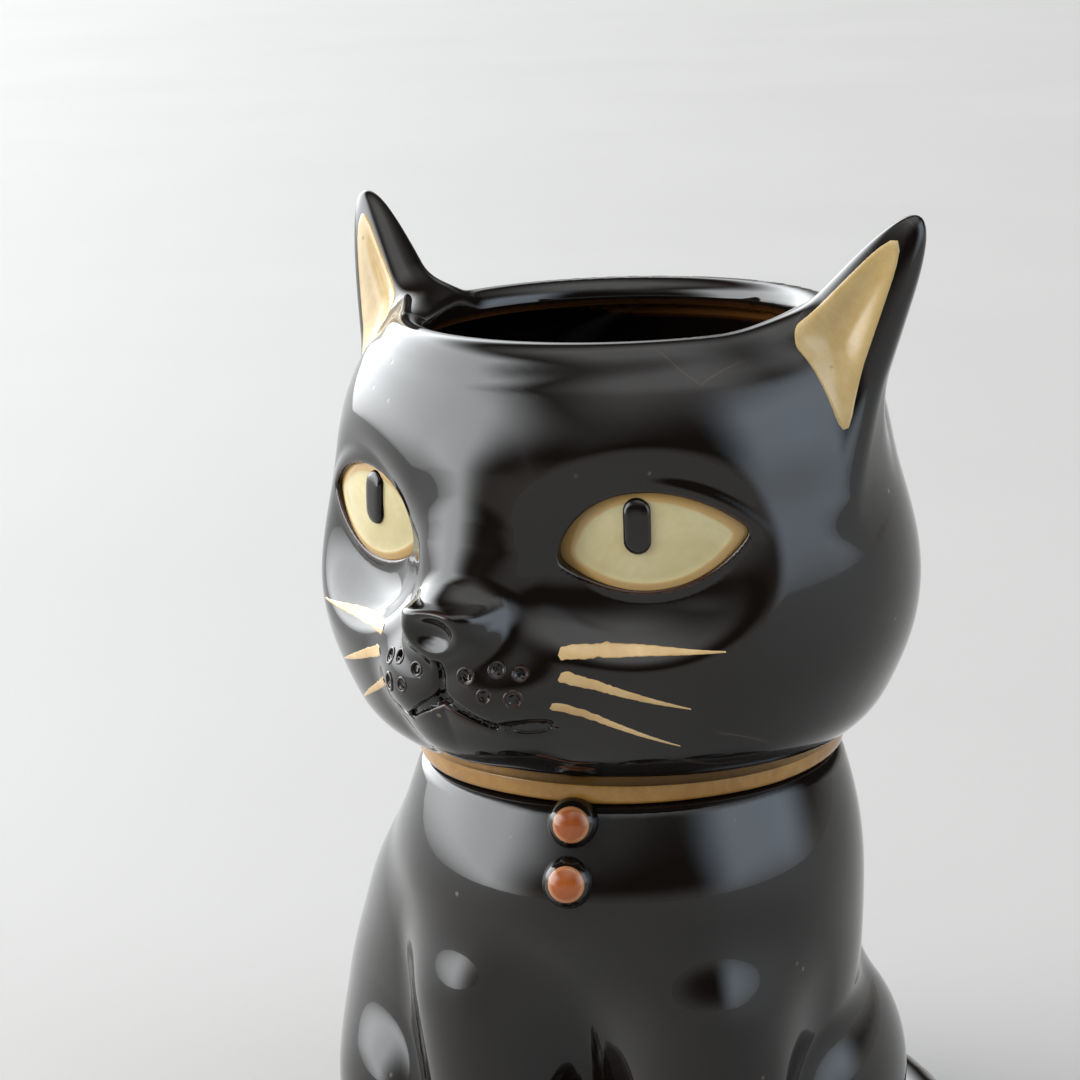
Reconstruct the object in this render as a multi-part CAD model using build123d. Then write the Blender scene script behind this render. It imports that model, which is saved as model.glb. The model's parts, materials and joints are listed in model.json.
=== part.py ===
from build123d import *
import math
import os

os.makedirs("parts", exist_ok=True)

# Glazed cat planter, in millimetres. The origin is on the ground under the centre of the throat.
# +Z is up and the chest faces -Y, so the cat's left is +X.

# Overall sizes
seam_height = 96
head_height = 86
head_half_width = 59.5
head_half_depth = 53
mouth_radius = 36
mouth_ahead = 1
wall = 5
lip_round = 4
lip_bevel = 2
throat_radius = 33.5
floor_thickness = 7
overrun = 20
oval_points = 12

# The head is turned to the cat's right, and the back leans the same way
head_turn = -17.2
back_lean = 30
head_centre_share = 0.46

# Chest column, and the back and rump behind it
chest_half_width = 45.6
chest_half_depth = 45.2
rump_half_width = 55
rump_half_depth = 53

# Face, measured from the seam and the throat's axis; sizes are half sizes
muzzle_pad_size = (15.5, 16.2, 9.3)
muzzle_pad_place = (4.2, -47.5, 27.4)
chin_size = (11.5, 9.4, 6.4)
chin_place = (0, -48.5, 17.5)
bridge_size = (13, 8.5, 14.5)
bridge_place = (0, -46, 46)
bridge_tilt = -45
nose_size = (8.3, 9.2, 4.9)
nose_place = (0, -59.4, 38.6)
nose_foot_size = (4, 5.4, 6)
nose_foot_place = (0, -60.4, 35.4)
nose_dish_size = (5.4, 4.6, 3.3)
nose_dish_place = (1.6, -71.3, 36.9)

# Lines pressed in under the nose: the groove, and each side of the mouth
mouth_line_radius = 1.1
groove_top = (0, -66.4, 31)
mouth_middle = (0, -64.6, 25.6)
mouth_corner = (10.4, -61.4, 20.6)
mouth_end = (14.6, -55.6, 18.8)

# Eye, an almond between two arcs on a shallow ball, with a lid round it in a socket
eye_place = (31, -42.3, 51)
eye_turn = 31
eye_drop = 3
eye_slant = 6
eye_half_length = 17.6
eye_upper_rise = 10.6
eye_lower_fall = 8.6
eye_ball_radius = 46
eye_thickness = 1.6
eye_bulge = 2.6
eye_column_depth = 12
lid_width = 2.4
lid_relief = 0.7
socket_size = (24, 16.5, 9.4)
socket_ahead = 9.9
eye_backing_size = (25, 18, 8)
pupil_length = 9.8
pupil_width = 5.4
pupil_relief = 1.1
pupil_shift = (-1, 3.2)

# Ear, by the corners of its lining: a rounded plate that thins to its tip
ear_inner = (38.6, -2.8, 86.4)
ear_lower = (52.8, -8, 69.4)
ear_tip = (60.6, 1.2, 103.6)
ear_rim = 2.1
ear_half_thickness = 3.5
ear_set_back = 2.6
ear_cup_ahead = 1.2
ear_cup_width_share = 0.96
ear_cup_depth_share = 0.86
lining_thickness = 1

# Whisker inlays: across and up from the throat's axis, for the inner and the outer ends
whisker_inner_ends = ((19.1, 33.3), (18.7, 28.2), (17.2, 22.8))
whisker_outer_ends = ((43.8, 32.6), (39.1, 21.9), (34.3, 14.3))
whisker_width = 2.5
whisker_depth = 1.2
whisker_turn = 33
cheek_depth = 50

# Collar band and the two beads under it
collar_band_height = 5.3
bead_radius = 4.8
bead_spacing = 10
upper_bead_drop = 3.4
bead_sunk = 0.8
cap_radius = 3.6
cap_thickness = 0.7

# Legs, paws and tail
leg_spacing = 38
leg_ahead = 25.5
leg_top = 72
leg_half_width = 18
leg_half_depth = 19.5
forepaw_size = (15.5, 20, 13)
forepaw_place = (17, -39, 5)
thigh_size = (21.5, 33, 27.5)
left_thigh_place = (29.5, 12, 24)
right_thigh_place = (-43, 8, 24)
hind_paw_size = (12.5, 21, 11)
left_hind_paw_place = (44, -20, 5)
right_hind_paw_place = (-50, -24, 5)
toe_line_width = 1.6
toe_line_depth = 1.3
toe_reach_share = 0.4
toe_spread_share = 0.42
tail_radius = 7
tail_start = (-30, 64)
tail_middle = (6, 77.5)
tail_bend = (40, 52)
tail_tip = (56, -8)

# Section shares of each form: height, half width, half depth, and the shift ahead by half depths
head_shares = (
    (0.04, 0.68, 0.745, 0.01),
    (0.093, 0.8, 0.86, 0.035),
    (0.186, 0.9, 0.935, 0.055),
    (0.302, 0.975, 0.98, 0.06),
    (0.442, 1, 1, 0.057),
    (0.558, 0.975, 0.963, 0.057),
    (0.674, 0.933, 0.925, 0.066),
    (0.79, 0.896, 0.896, 0.066),
    (0.895, 0.84, 0.85, 0.047),
    (0.95, 0.765, 0.8, 0.03),
)
chest_shares = (
    (0, 0.79, 0.575, -0.18),
    (0.1, 0.81, 0.62, -0.18),
    (0.31, 0.88, 0.73, -0.085),
    (0.52, 0.965, 0.85, -0.02),
    (0.67, 0.996, 0.95, 0.035),
    (0.8, 1, 1, 0.066),
    (0.917, 0.956, 0.96, 0.033),
    (1, 0.9, 0.907, 0),
)
back_shares = (
    (0, 0.927, 0.925, -0.53),
    (0.125, 0.99, 1, -0.565),
    (0.31, 1, 1.01, -0.555),
    (0.49, 0.964, 0.98, -0.487),
    (0.6, 0.927, 0.96, -0.406),
    (0.71, 0.89, 0.94, -0.3),
    (0.79, 0.85, 0.9, -0.207),
    (0.87, 0.8, 0.84, -0.106),
    (0.94, 0.68, 0.7, -0.026),
)
leg_shares = (
    (0, 0.83, 0.87, 0.13),
    (0.11, 0.83, 0.82, 0.08),
    (0.28, 0.86, 0.82, 0),
    (0.5, 0.94, 0.92, -0.03),
    (0.7, 1, 1, 0),
    (0.89, 0.94, 0.97, 0.05),
    (1, 0.78, 0.82, 0.08),
)
ear_shares = (
    (-0.5, 1.4, 1.3),
    (0, 1, 1),
    (0.35, 0.72, 0.9),
    (0.7, 0.41, 0.76),
    (0.92, 0.21, 0.6),
    (1, 0.1, 0.34),
)


def oval(half_width, half_depth, height, ahead=0):
    """A level oval, its centre ahead of the axis."""
    turns = [2 * math.pi * step / oval_points for step in range(oval_points)]
    rim = [(half_width * math.cos(turn), half_depth * math.sin(turn)) for turn in turns]
    return Pos(0, -ahead, height) * make_face(Spline(*rim, periodic=True))


def column(shares, half_width, half_depth, top, inset=0, bottom=0):
    """A loft through level ovals, drawn in by an inset for a hollow."""
    return loft([
        oval(
            half_width * width - inset,
            half_depth * depth - inset,
            bottom + (top - bottom) * height,
            half_depth * ahead,
        )
        for height, width, depth, ahead in shares
    ])


def head_form(share):
    """The plain round of the head over its lip, drawn in about its centre for the hollow."""
    rows = [
        (head_half_width * width, head_half_depth * depth, head_height * height, head_half_depth * ahead)
        for height, width, depth, ahead in head_shares
    ]
    for lip_angle in (math.pi / 4, math.pi / 2):
        rim = mouth_radius + wall / 2 + lip_round * math.cos(lip_angle)
        rows.append((rim, rim, head_height - lip_round + lip_round * math.sin(lip_angle), mouth_ahead))
    return loft([
        oval(width * share, depth * share, head_centre + (height - head_centre) * share, ahead * share)
        for width, depth, height, ahead in rows
    ])


def pebble(size, place):
    """An ellipsoid of three half sizes."""
    return Pos(*place) * scale(Sphere(1), by=size)


def rod(start, end, radius):
    """A round bar from one point to another."""
    way = Vector(*end) - Vector(*start)
    return Plane(origin=start, z_dir=way) * extrude(Circle(radius), amount=way.length)


def almond(grow=0):
    """The eye's outline, made larger all round for its lid."""
    reach = eye_half_length + grow
    upper = ThreePointArc((-reach, 0), (0, eye_upper_rise + grow), (reach, 0))
    lower = ThreePointArc((reach, 0), (0, -eye_lower_fall - grow), (-reach, 0))
    return Rot(0, 0, eye_slant) * make_face(upper + lower)


def toed(paw, size, place):
    """A paw with the lines between its toes cut along its front."""
    core = pebble(tuple(half - toe_line_depth for half in size), place)
    front = place[1] - size[1] * toe_reach_share
    for step in (-1, 0, 1):
        across = place[0] + step * size[0] * toe_spread_share
        slot = Box(toe_line_width, size[1], 3 * size[2], align=(Align.CENTER, Align.MAX, Align.CENTER))
        paw = paw - (Pos(across, front, place[2]) * slot - core)
    return biggest(paw)


def biggest(shape):
    """The largest solid of a shape, without the slivers of a cut."""
    return max(shape.solids(), key=lambda solid: solid.volume)


def mirrored(piece):
    """The same piece on the cat's other side."""
    return mirror(piece, about=Plane.YZ)


def chest_front(height):
    """How far the chest column reaches ahead at a height."""
    share = height / seam_height
    for low, high in zip(chest_shares, chest_shares[1:]):
        if low[0] <= share <= high[0]:
            part = (share - low[0]) / (high[0] - low[0])
            reach = [(row[2] + row[3]) * chest_half_depth for row in (low, high)]
            return reach[0] + (reach[1] - reach[0]) * part
    return chest_half_depth


# Where each eye sits, facing out of the head
neck_radius = throat_radius + wall
head_centre = head_height * head_centre_share
eye_seat = Pos(*eye_place) * Rot(0, 0, eye_turn) * Rot(90 + eye_drop, 0, 0)
eye_floor = eye_seat * Pos(0, 0, -eye_column_depth)
eye_ball = eye_seat * Pos(0, 0, eye_bulge - eye_ball_radius)
outer_ball = eye_ball * Sphere(eye_ball_radius)
inner_ball = eye_ball * Sphere(eye_ball_radius - eye_thickness)
eye_column = eye_floor * extrude(almond(), amount=eye_column_depth + overrun)

# Head: the round, then its muzzle, chin and bridge, then an open socket with a lid round each eye
head_solid = head_form(1)
muzzle_pad = pebble(muzzle_pad_size, muzzle_pad_place)
head_solid = head_solid + muzzle_pad + mirrored(muzzle_pad) + pebble(chin_size, chin_place)
head_solid = head_solid + Pos(*bridge_place) * Rot(bridge_tilt, 0, 0) * scale(Sphere(1), by=bridge_size)
hollow_round = head_form((head_half_width - wall) / head_half_width)
eye_dip = eye_seat * Rot(0, 0, eye_slant) * Pos(0, 0, socket_ahead) * scale(Sphere(1), by=socket_size)
eye_lid = eye_floor * extrude(almond(lid_width), amount=eye_column_depth + overrun)
eye_lid = eye_lid & (eye_ball * Sphere(eye_ball_radius + lid_relief))
eye_backing = eye_seat * Rot(0, 0, eye_slant) * scale(Sphere(1), by=eye_backing_size)
for side in (lambda piece: piece, mirrored):
    head_solid = head_solid - side(eye_dip) + side(eye_lid & head_solid)
    hollow_round = hollow_round - side(eye_backing)
neck = extrude(Circle(neck_radius), amount=collar_band_height + wall)
mouth_cut = Pos(0, -mouth_ahead, head_centre) * extrude(Circle(mouth_radius), amount=head_height)
throat_cut = Pos(0, 0, -overrun) * extrude(Circle(throat_radius), amount=head_centre + overrun)
bevel_base = Pos(0, -mouth_ahead, head_height - lip_bevel + overrun / 2)
mouth_bevel = bevel_base * Cone(mouth_radius, mouth_radius + overrun, overrun)
head = head_solid + neck - hollow_round - mouth_cut - throat_cut - mouth_bevel

# Nose, and the lines pressed in under it
nose_dish = pebble(nose_dish_size, nose_dish_place)
nose = pebble(nose_size, nose_place) + pebble(nose_foot_size, nose_foot_place)
nose = biggest(nose - nose_dish - mirrored(nose_dish) - head_solid)
mouth_lines = (
    rod(groove_top, mouth_middle, mouth_line_radius),
    rod(mouth_middle, mouth_corner, mouth_line_radius),
    rod(mouth_corner, mouth_end, mouth_line_radius),
)

# Eyes and pupils
eye = biggest((eye_column & outer_ball) - inner_ball)
pupil_face = Pos(*pupil_shift) * SlotOverall(pupil_length, pupil_width, rotation=90)
pupil_column = eye_seat * extrude(pupil_face, amount=overrun)
pupil = biggest((pupil_column & eye_ball * Sphere(eye_ball_radius + pupil_relief)) - outer_ball)

# Ears: a plate through ovals that lean from the base of the lining to its tip, with a cup and a lining
ear_middle = (Vector(*ear_inner) + Vector(*ear_lower)) / 2
ear_base = Vector(*ear_lower) - Vector(*ear_inner)
ear_rise = Vector(*ear_tip) - ear_middle
ear_facing = ear_base.cross(ear_rise)
ear_plane = Plane(origin=ear_middle, x_dir=ear_base, z_dir=ear_facing.cross(ear_base))
ear_skew = ear_rise.dot(ear_base.normalized())
ear_height = ear_rise.dot(ear_plane.z_dir)
ear_half_width = ear_base.length / 2 + ear_rim


def ear_form(width_share, depth_share, ahead, reach):
    """A flat cone of ovals in the ear's plane."""
    return ear_plane * loft([
        Pos(ear_skew * height, 0, 0) * oval(
            ear_half_width * width_share * width,
            ear_half_thickness * depth_share * depth,
            reach * height,
            ahead * depth,
        )
        for height, width, depth in ear_shares
    ])


ear_solid = ear_form(1, 1, -ear_set_back, ear_height + ear_rim)
ear_cup = ear_form(ear_cup_width_share, ear_cup_depth_share, ear_cup_ahead, ear_height)
mouth_clear = Pos(0, -mouth_ahead, 0) * extrude(Circle(mouth_radius + wall / 2), amount=2 * head_height)
ear = biggest(ear_solid - ear_cup - head_solid - mouth_clear)
lining_top = ear_plane * Pos(0, -lining_thickness, 0) * (ear_plane.location.inverse() * ear_cup)
ear_lining = biggest((ear_cup & ear_solid) - lining_top - head_solid - mouth_clear)

# Whiskers, laid into grooves of the cheek
whiskers = []
for (inner_x, inner_z), (outer_x, outer_z) in zip(whisker_inner_ends, whisker_outer_ends):
    run = (outer_x - inner_x) / math.cos(math.radians(whisker_turn))
    rise = outer_z - inner_z
    half = whisker_width / 2
    blade = make_face(Polyline((0, -half), (math.hypot(run, rise), 0), (0, half), (-half, 0), close=True))
    blade_seat = Pos(inner_x, -cheek_depth, inner_z) * Rot(0, 0, whisker_turn) * Rot(90, 0, 0)
    blade = Rot(0, 0, math.degrees(math.atan2(rise, run))) * blade
    strip = blade_seat * Pos(0, 0, -overrun) * extrude(blade, amount=2 * overrun) & head_solid
    inward = Rot(0, 0, whisker_turn) * Pos(0, whisker_depth, 0)
    whiskers.append(biggest(strip - Pos(*inward.position) * strip))

# Everything let or pressed into the head makes its own seat there
for piece in [eye_column - inner_ball, *mouth_lines, *whiskers]:
    head = head - piece - mirrored(piece)
head = biggest(head)

# Collar band round the neck
collar_band = Pos(0, 0, collar_band_height / 2) * Torus(neck_radius, collar_band_height / 2)
collar_band = biggest(collar_band - extrude(Circle(neck_radius), amount=collar_band_height) - head_solid)

# Body: a chest column and a leaning back over one hollow, on a flat base
chest = column(chest_shares, chest_half_width, chest_half_depth, seam_height)
back = Rot(0, 0, back_lean) * column(back_shares, rump_half_width, rump_half_depth, seam_height)
body_solid = chest + back
chest_hollow = column(
    chest_shares, chest_half_width, chest_half_depth, seam_height - wall, wall, floor_thickness
)
back_hollow = Rot(0, 0, back_lean) * column(
    back_shares, rump_half_width, rump_half_depth, seam_height - wall, wall, floor_thickness
)
body_throat = Pos(0, 0, seam_height / 2) * extrude(Circle(throat_radius), amount=seam_height)
body = biggest(body_solid - chest_hollow - back_hollow - body_throat)

# Forelegs with their paws
ground = Pos(0, 0, -seam_height / 2) * Box(8 * head_half_width, 8 * head_half_width, seam_height)
leg = Pos(leg_spacing / 2, -leg_ahead, 0) * column(leg_shares, leg_half_width, leg_half_depth, leg_top)
leg_solid = leg + pebble(forepaw_size, forepaw_place) - ground
leg_solid = toed(leg_solid, forepaw_size, forepaw_place)
middle_gap = Pos(-overrun, 0, 0) * Box(2 * overrun, 8 * head_half_width, 4 * seam_height)
left_foreleg = biggest(leg_solid - body_solid - middle_gap)
right_foreleg = mirrored(biggest(leg_solid - mirrored(body_solid) - middle_gap))
forelegs = left_foreleg + right_foreleg

# Haunches, hind paws and tail
left_haunch = biggest(pebble(thigh_size, left_thigh_place) - ground - body_solid - forelegs)
right_haunch = biggest(pebble(thigh_size, right_thigh_place) - ground - body_solid - forelegs)
haunches = left_haunch + right_haunch
left_hind_paw = pebble(hind_paw_size, left_hind_paw_place) - ground - body_solid - forelegs - haunches
right_hind_paw = pebble(hind_paw_size, right_hind_paw_place) - ground - body_solid - forelegs - haunches
left_hind_paw = toed(left_hind_paw, hind_paw_size, left_hind_paw_place)
right_hind_paw = toed(right_hind_paw, hind_paw_size, right_hind_paw_place)
rump_arc = ThreePointArc(tail_start, tail_middle, tail_bend)
side_arc = TangentArc(tail_bend, tail_tip, tangent=rump_arc % 1)
tail_path = Pos(0, 0, tail_radius) * (rump_arc + side_arc)
tail = sweep(Plane(tail_path @ 0, z_dir=tail_path % 0) * Circle(tail_radius), path=tail_path)
tail = tail + Pos(*(tail_path @ 1)) * Sphere(tail_radius)
tail = biggest(tail - body_solid - haunches - left_hind_paw)

# Beads on the chest, each with a cap; the upper one ends under the collar band
above_seam = Pos(0, 0, seam_height + overrun) * Box(2 * head_half_width, 2 * head_half_width, 2 * overrun)
beads = []
caps = []
for drop in (upper_bead_drop, upper_bead_drop + bead_spacing):
    height = seam_height - drop
    seat = Pos(0, bead_sunk - chest_front(height), height) * Rot(90, 0, 0)
    dome = seat * Sphere(bead_radius)
    cap_column = seat * extrude(Circle(cap_radius), amount=overrun)
    beads.append(biggest(dome - body_solid - above_seam))
    caps.append(biggest((cap_column & seat * Sphere(bead_radius + cap_thickness)) - dome))

# One file for each piece
head_seat = Pos(0, 0, seam_height) * Rot(0, 0, head_turn)
nodes = {
    "body": body,
    "left_foreleg": left_foreleg,
    "right_foreleg": right_foreleg,
    "left_haunch": left_haunch,
    "right_haunch": right_haunch,
    "left_hind_paw": left_hind_paw,
    "right_hind_paw": right_hind_paw,
    "tail": tail,
    "upper_bead": beads[0],
    "lower_bead": beads[1],
    "upper_bead_cap": caps[0],
    "lower_bead_cap": caps[1],
    "head": head_seat * head,
    "nose": head_seat * nose,
    "collar_band": head_seat * collar_band,
}
for name, piece in (("eye", eye), ("pupil", pupil), ("ear", ear), ("ear_lining", ear_lining)):
    nodes["left_" + name] = head_seat * piece
    nodes["right_" + name] = head_seat * mirrored(piece)
nodes["left_whiskers"] = head_seat * Compound(whiskers)
nodes["right_whiskers"] = head_seat * Compound([mirrored(strip) for strip in whiskers])
for name, piece in nodes.items():
    export_step(piece, "parts/" + name + ".step")
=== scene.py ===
import json
import math

import bpy
import numpy as np
from mathutils import Matrix, Vector

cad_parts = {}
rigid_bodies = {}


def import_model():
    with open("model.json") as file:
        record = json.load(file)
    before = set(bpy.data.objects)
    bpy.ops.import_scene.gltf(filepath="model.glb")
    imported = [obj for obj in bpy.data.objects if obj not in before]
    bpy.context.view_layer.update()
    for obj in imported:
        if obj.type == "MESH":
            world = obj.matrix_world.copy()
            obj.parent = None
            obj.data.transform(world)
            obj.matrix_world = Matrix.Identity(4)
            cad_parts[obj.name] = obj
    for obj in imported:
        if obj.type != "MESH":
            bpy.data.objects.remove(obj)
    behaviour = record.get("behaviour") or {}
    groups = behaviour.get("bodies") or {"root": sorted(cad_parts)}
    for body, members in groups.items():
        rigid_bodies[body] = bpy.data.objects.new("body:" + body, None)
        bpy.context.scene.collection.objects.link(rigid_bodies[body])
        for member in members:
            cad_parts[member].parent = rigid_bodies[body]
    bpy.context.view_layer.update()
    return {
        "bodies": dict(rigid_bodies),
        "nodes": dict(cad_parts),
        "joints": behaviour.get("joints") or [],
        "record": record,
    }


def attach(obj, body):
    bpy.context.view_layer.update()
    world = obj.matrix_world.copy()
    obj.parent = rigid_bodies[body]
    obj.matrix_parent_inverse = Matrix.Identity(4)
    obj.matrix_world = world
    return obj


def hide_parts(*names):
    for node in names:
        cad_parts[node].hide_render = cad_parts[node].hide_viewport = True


# Glazed cat planter. Forms are sculpted as smooth distance fields in millimetres, then meshed in metres.
# The row's frame has +Z up and the chest at -Y. The head's frame is turned on it and starts at the collar.
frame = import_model()
MM = 0.001

# Driving dimensions
SEAM_HEIGHT = 96.0
HEAD_TURN = -17.2
BACK_LEAN = 30.0
WALL = 5.0
FLOOR = 7.0
MOUTH_RADIUS = 36.0
MOUTH_AHEAD = 1.0
HEAD_HEIGHT = 86.0
THROAT_RADIUS = 33.5
LIP_ROUND = 4.0
LIP_TOP = 82.6

# Head sections: height, half width, half depth, shift ahead
HEAD_ROWS = (
    (0, 38.2, 38.2, 0.0),
    (3.4, 41.5, 40.2, 0.6),
    (8, 47.4, 45.4, 1.9),
    (16, 53.6, 49.6, 2.9),
    (26, 58.0, 51.9, 3.2),
    (38, 59.4, 52.8, 3.0),
    (48, 58.0, 51.0, 3.0),
    (58, 55.5, 49.0, 3.5),
    (68, 53.3, 47.5, 3.5),
    (77, 50.0, 45.0, 2.5),
    (83, 46.2, 43.0, 1.5),
    (88, 41.5, 41.5, 1.0),
)

# Chest and back sections as shares of the seam's height and of each form's half sizes
CHEST_HALF = (45.6, 45.2)
CHEST_ROWS = (
    (0, 0.79, 0.575, -0.18),
    (0.1, 0.81, 0.62, -0.18),
    (0.31, 0.88, 0.73, -0.085),
    (0.52, 0.965, 0.85, -0.02),
    (0.67, 0.996, 0.95, 0.035),
    (0.8, 1, 1, 0.066),
    (0.917, 0.956, 0.96, 0.033),
    (1, 0.9, 0.907, 0),
)
BACK_HALF = (54.2, 52.6)
BACK_ROWS = (
    (0, 0.927, 0.925, -0.53),
    (0.125, 0.99, 1, -0.565),
    (0.31, 1, 1.01, -0.555),
    (0.49, 0.964, 0.98, -0.487),
    (0.6, 0.927, 0.96, -0.406),
    (0.71, 0.89, 0.94, -0.3),
    (0.79, 0.85, 0.9, -0.207),
    (0.87, 0.8, 0.84, -0.106),
    (1, 0.62, 0.64, 0),
)
LEG_HALF = (18.0, 19.5)
LEG_TOP = 72.0
LEG_PLACE = (19.0, -25.5)
LEG_ROWS = (
    (0, 0.83, 0.87, 0.13),
    (0.11, 0.83, 0.82, 0.08),
    (0.28, 0.86, 0.82, 0),
    (0.5, 0.94, 0.92, -0.03),
    (0.7, 1, 1, 0),
    (0.89, 0.94, 0.97, 0.05),
    (1, 0.78, 0.82, 0.08),
)

# Eye, in its own frame: across, up and out of the face
EYE_PLACE = (30.1, -37.6, 50.7)
EYE_TURN = 25.5
EYE_DROP = 3.0
EYE_SLANT = 8.2
EYE_SKEW = 0.25
EYE_HALF_LENGTH = 17.4
EYE_RISE = 10.2
EYE_FALL = 7.8
EYE_BALL = 46.0
EYE_BULGE = 2.6
EYE_THICKNESS = 1.6
PUPIL_PLACE = (-2.1, 4.3)
PUPIL_HALF = (2.5, 5.1)
SOCKET = ((0, -0.5, 9.9), (24.5, 16.5, 9.6))
LID_RADIUS = 1.8
LID_OFFSET = 1.7

# Face, in the head's frame: places and half sizes
BRIDGE = ((0, -41.5, 60), (0, -46, 48), (0, -53, 40))
BRIDGE_RADII = (9, 8, 6.5)
SNOUT = ((0, -56.4, 37.4), (9.8, 10.6, 5.6))
MUZZLE = ((4.2, -47, 25.6), (15.5, 16, 10.4))
CHIN = ((0, -48, 17), (11.5, 9.2, 6.4))
NOSE_HALF_WIDTH = 9
NOSE_TOP = 41
NOSE_FRONT = 65.2
NOSE_BACK = 57
NOSE_DISH = ((0, -68.8, 36.7), (6.6, 5.6, 4.2))
# Marks in front view, across and up
PHILTRUM = ((0, 0, 31), (0, 0, 25.2))
MOUTH_LINE = ((0, 0, 24.8), (9.0, 0, 19.8))
DIMPLE = ((14.0, 0, 19.3), (2.4, 1, 0.7))
# The painted amber reflection, a band of amber colour on the inner wall just under the lip: its height and
# half width
AMBER_SHEEN_LINE = (79.8, 1.6)

# Paws, haunches and tail, in the row's frame
PAW_PLACE = (17, -39, 5)
PAW_HALF = (15.2, 19.6, 12.8)
HAUNCHES = {"left": (29.5, 12, 24), "right": (-43, 8, 24)}
HAUNCH_HALF = (21.5, 33, 27.5)
HIND_PAWS = {"left": (44, -20, 5), "right": (-50, -24, 5)}
HIND_PAW_HALF = (12.3, 20.6, 10.8)
# Across, ahead and radius
TAIL_KNOTS = ((-30, 64, 7.0), (6, 76.6, 7.0), (40, 52, 6.8), (55, 22, 6.6), (55.4, -8, 6.2))
TAIL_HEIGHT = 6.9

BAND_RADIUS = 39.8
BAND_HEIGHT = 2.55
BAND_HALF = (1.7, 2.5)
BEAD_HEIGHTS = {"upper_bead": 92.6, "lower_bead": 82.6}
BEAD_RADIUS = 4.9
CAP_RADIUS = 3.1
CAP_RELIEF = 0.35
BEAD_TILT = 13.0
BEAD_TURN = 9.0

# Soft windows: azimuth, elevation, half width, half height, softness, power and colour
WINDOWS = (
    (-114, 24, 0.78, 0.34, 0.17, 6.8, (0.95, 0.98, 1.0)),
    (68, 21, 0.42, 0.3, 0.2, 3.2, (0.74, 0.86, 1.0)),
    (20, 76, 0.5, 0.5, 0.3, 1.6, (1.0, 1.0, 1.0)),
)

# Whiskers in the head's frame: across and up, for the inner and the outer ends
WHISKERS = (
    ((19.3, 33.2), (44.6, 32.6), 3.0),
    ((19.8, 29.1), (38.6, 22.0), 2.8),
    ((18.4, 23.8), (35.4, 14.4), 2.2),
)

# Pores of the muzzle, across and up
PORES = ((5.4, 29.4), (10.6, 30.6), (14.2, 29.8), (9.0, 26.0), (13.6, 25.4))
PORE_RADIUS = 1.45

# Ear, by the three corners of its lining in the head's frame
EAR_TIP = (63.0, 1.8, 107.8)
EAR_INNER = (41.8, -10.8, 83.1)
EAR_LOWER = (51.8, -10.0, 64.3)
EAR_RIMS = (2.2, 4.2)
EAR_ROUND = 13.0
EAR_THICKNESS = (12.5, 7.0)


# Fields
class Curve:
    """A natural cubic curve through rows of values."""

    def __init__(self, places, values):
        self.places = np.array(places, float)
        self.values = np.array(values, float)
        step = np.diff(self.places)
        slope = np.diff(self.values) / step
        count = len(places)
        system = np.eye(count)
        wanted = np.zeros(count)
        for i in range(1, count - 1):
            system[i, i - 1:i + 2] = step[i - 1], 2 * (step[i - 1] + step[i]), step[i]
            wanted[i] = 6 * (slope[i] - slope[i - 1])
        self.bend = np.linalg.solve(system, wanted)

    def __call__(self, x):
        x = np.clip(x, self.places[0], self.places[-1])
        i = np.clip(np.searchsorted(self.places, x) - 1, 0, len(self.places) - 2)
        step = (self.places[1:] - self.places[:-1])[i]
        high = (x - self.places[i]) / step
        low = 1 - high
        arch = (low ** 3 - low) * self.bend[i] + (high ** 3 - high) * self.bend[i + 1]
        return low * self.values[i] + high * self.values[i + 1] + arch * step ** 2 / 6


def blend(a, b, k):
    """The union of two fields, with a fillet of about k."""
    share = np.clip(0.5 + 0.5 * (b - a) / k, 0, 1)
    return b + (a - b) * share - k * share * (1 - share)


def carve(a, b, k):
    """The first field less the second, with a rounded edge of about k."""
    return -blend(-a, b, k)


def within(a, b, k):
    """What two fields share, with a rounded edge of about k."""
    return -blend(-a, -b, k)


def turned(degrees, axis):
    return np.array(Matrix.Rotation(math.radians(degrees), 3, axis))


def local(p, place, frame=None):
    """A point in a frame whose columns are its axes."""
    x, y, z = p[0] - place[0], p[1] - place[1], p[2] - place[2]
    if frame is None:
        return x, y, z
    return tuple(x * frame[0, i] + y * frame[1, i] + z * frame[2, i] for i in range(3))


def pebble(p, place, sizes, frame=None):
    """An ellipsoid."""
    x, y, z = local(p, place, frame)
    a, b, c = sizes
    near = np.sqrt((x / a) ** 2 + (y / b) ** 2 + (z / c) ** 2)
    pull = np.sqrt((x / a ** 2) ** 2 + (y / b ** 2) ** 2 + (z / c ** 2) ** 2)
    return near * (near - 1) / np.maximum(pull, 1e-4)


def rod(p, start, end, start_radius, end_radius):
    """A round rod between two points, with a radius at each."""
    along = np.subtract(end, start).astype(float)
    x, y, z = local(p, start)
    share = np.clip((x * along[0] + y * along[1] + z * along[2]) / along.dot(along), 0, 1)
    dist = np.sqrt((x - share * along[0]) ** 2 + (y - share * along[1]) ** 2 + (z - share * along[2]) ** 2)
    return dist - start_radius - (end_radius - start_radius) * share


class Column:
    """Level ovals stacked along z, from rows of height, half width, half depth and shift ahead."""

    def __init__(self, rows):
        heights, widths, depths, shifts = zip(*rows)
        self.width = Curve(heights, widths)
        self.depth = Curve(heights, depths)
        self.shift = Curve(heights, shifts)

    def __call__(self, p, inset=0.0):
        x, y, z = p
        a, b = self.width(z) - inset, self.depth(z) - inset
        y = y + self.shift(z)
        near = np.sqrt((x / a) ** 2 + (y / b) ** 2)
        pull = np.sqrt((x / a ** 2) ** 2 + (y / b ** 2) ** 2)
        return near * (near - 1) / np.maximum(pull, 1e-4)


def scaled(rows, height, half):
    return [(row[0] * height, row[1] * half[0], row[2] * half[1], row[3] * half[1]) for row in rows]


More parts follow.
